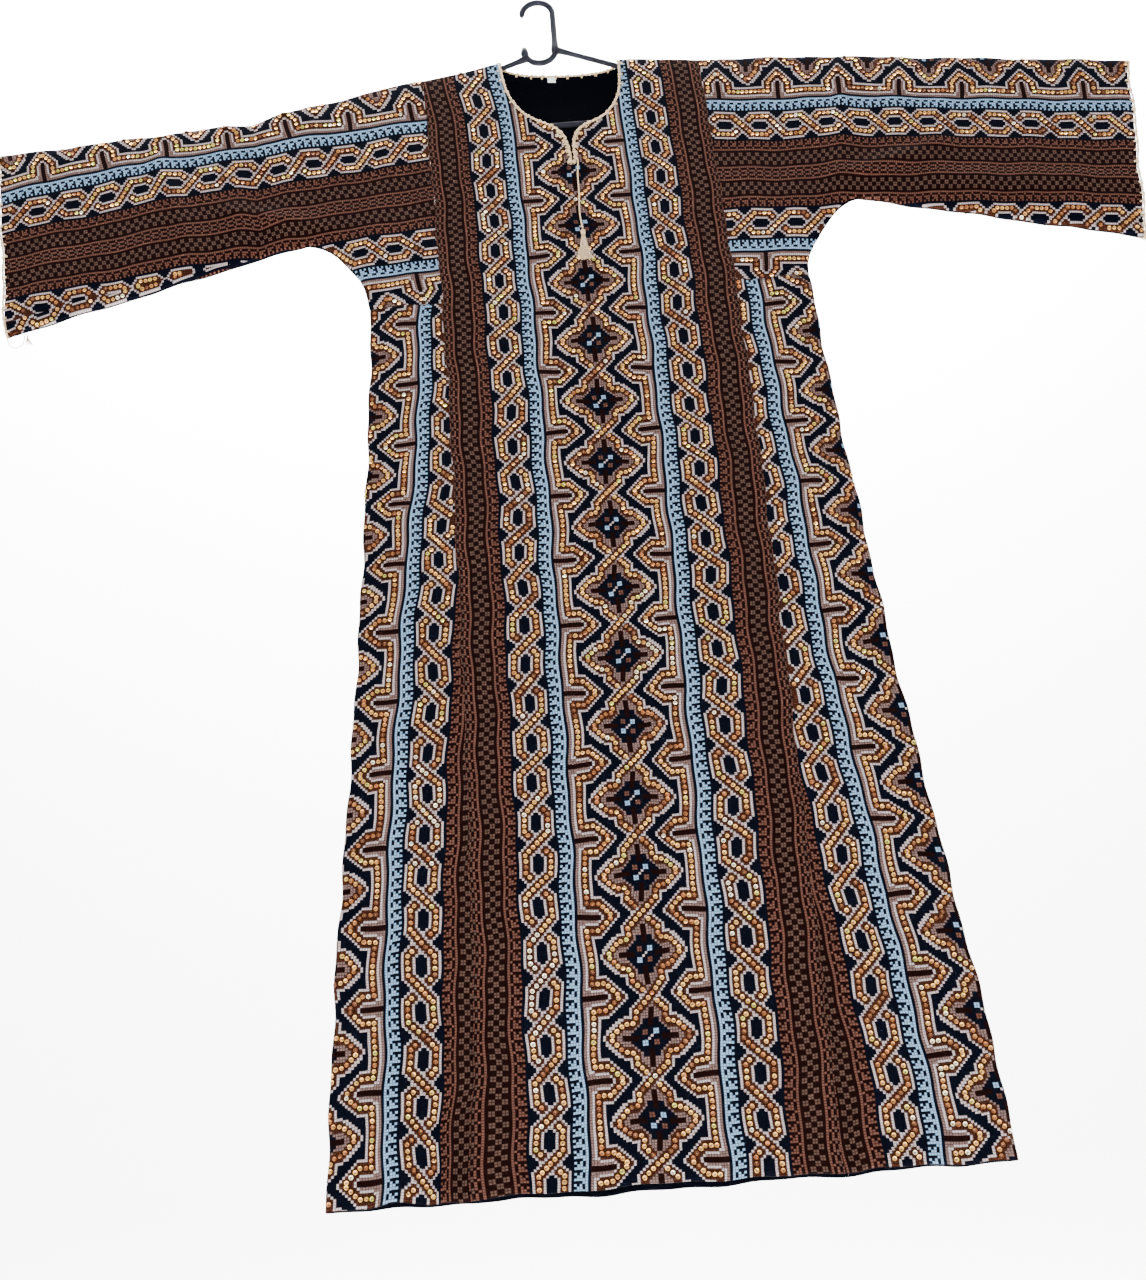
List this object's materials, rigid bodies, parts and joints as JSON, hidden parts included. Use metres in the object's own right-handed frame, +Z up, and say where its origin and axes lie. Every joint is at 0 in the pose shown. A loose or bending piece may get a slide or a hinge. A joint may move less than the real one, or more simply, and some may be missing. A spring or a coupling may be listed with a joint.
{
  "type": "embroidered dress on a hanger",
  "caption": "Full-length embroidered dress with wide straight sleeves, side gores, slit round neck and tasselled tie, held on a plastic hanger.",
  "frame": {"origin": "inner top of the hanger's hook, where a rail would carry it", "axes": "+Z up along the hanging dress, +X to the right of someone who looks at its front, front facing -Y"},
  "size_m": [1.45, 0.0432, 1.5309],
  "materials": {
    "cloth": "dense cross-stitch embroidery with sequins",
    "cream_trim": "cream thread",
    "label_tape": "blank woven tape",
    "hanger_plastic": "moulded"
  },
  "bodies": {
    "root": {"centre_panel": "cloth", "sleeve_left": "cloth", "sleeve_right": "cloth", "side_gore_left": "cloth", "side_gore_right": "cloth", "neck_edging": "cream_trim", "cuff_edging_left": "cream_trim", "cuff_edging_right": "cream_trim", "neck_label": "label_tape", "tie_cord": "cream_trim", "tassel": "cream_trim", "hanger": "hanger_plastic"}
  },
  "joints": []
}
